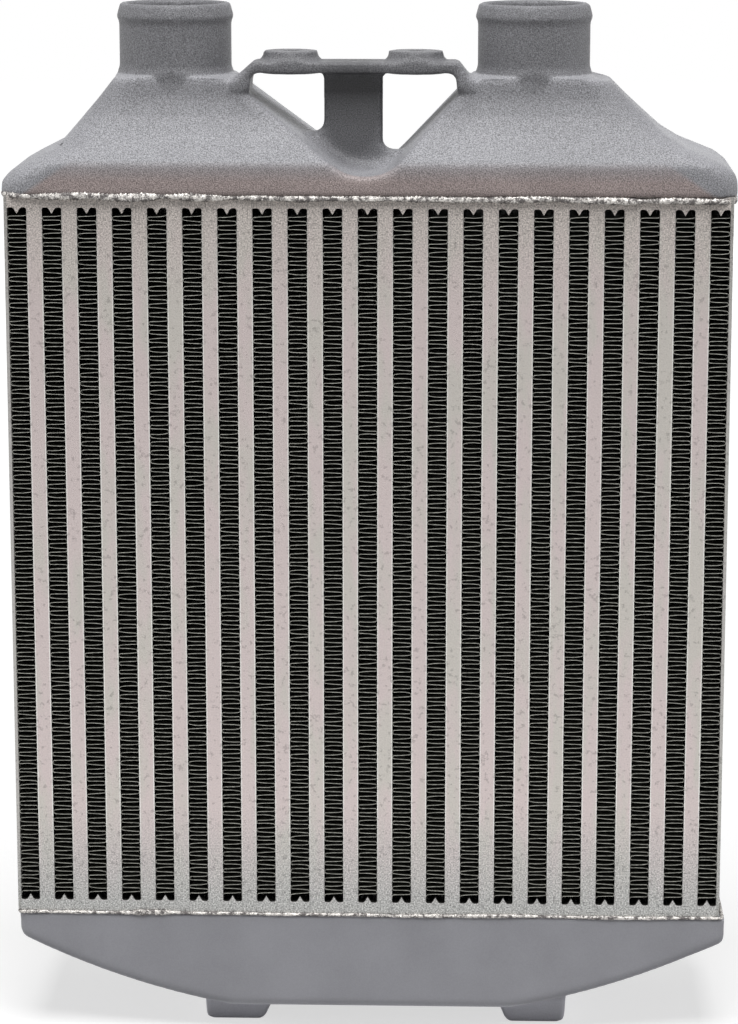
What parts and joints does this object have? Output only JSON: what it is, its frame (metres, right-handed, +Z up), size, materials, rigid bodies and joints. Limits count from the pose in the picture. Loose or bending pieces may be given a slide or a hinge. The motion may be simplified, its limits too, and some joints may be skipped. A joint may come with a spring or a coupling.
{
  "type": "intercooler",
  "caption": "Bar-and-plate charge air cooler with a twin-spigot cast upper tank, a bolt-on bridge bracket and a return tank on two feet.",
  "frame": {"origin": "on the floor under the middle of the core, between the two feet", "axes": "+X across the core to the right, +Y from the front face to the rear face, +Z up towards the hose spigots"},
  "size_m": [0.358, 0.096, 0.514],
  "materials": {
    "cast_tank": "shot-blasted sand casting, fine dull grain",
    "lower_tank": "smooth bead-blasted casting",
    "weld": "bright rippled weld bead",
    "bar": "brazed mill finish, faintly mottled",
    "sheet": "brazed clad sheet",
    "fin": "thin folded foil, dull"
  },
  "bodies": {
    "root": {"top_tank": "cast_tank", "bottom_tank": "lower_tank", "top_weld_bead": "weld", "bottom_weld_bead": "weld", "side_plate_left": "bar", "side_plate_right": "bar", "front_face_bars": "bar", "rear_face_bars": "bar", "upper_end_bars": "bar", "lower_end_bars": "bar", "separator_sheets": "sheet", "cooling_fin_01": "fin", "cooling_fin_02": "fin", "cooling_fin_03": "fin", "cooling_fin_04": "fin", "cooling_fin_05": "fin", "cooling_fin_06": "fin", "cooling_fin_07": "fin", "cooling_fin_08": "fin", "cooling_fin_09": "fin", "cooling_fin_10": "fin", "cooling_fin_11": "fin", "cooling_fin_12": "fin", "cooling_fin_13": "fin", "cooling_fin_14": "fin", "cooling_fin_15": "fin", "cooling_fin_16": "fin", "cooling_fin_17": "fin", "cooling_fin_18": "fin", "cooling_fin_19": "fin", "cooling_fin_20": "fin", "cooling_fin_21": "fin", "charge_turbulator_01": "fin", "charge_turbulator_02": "fin", "charge_turbulator_03": "fin", "charge_turbulator_04": "fin", "charge_turbulator_05": "fin", "charge_turbulator_06": "fin", "charge_turbulator_07": "fin", "charge_turbulator_08": "fin", "charge_turbulator_09": "fin", "charge_turbulator_10": "fin", "charge_turbulator_11": "fin", "charge_turbulator_12": "fin", "charge_turbulator_13": "fin", "charge_turbulator_14": "fin", "charge_turbulator_15": "fin", "charge_turbulator_16": "fin", "charge_turbulator_17": "fin", "charge_turbulator_18": "fin", "charge_turbulator_19": "fin", "charge_turbulator_20": "fin"}
  },
  "joints": []
}
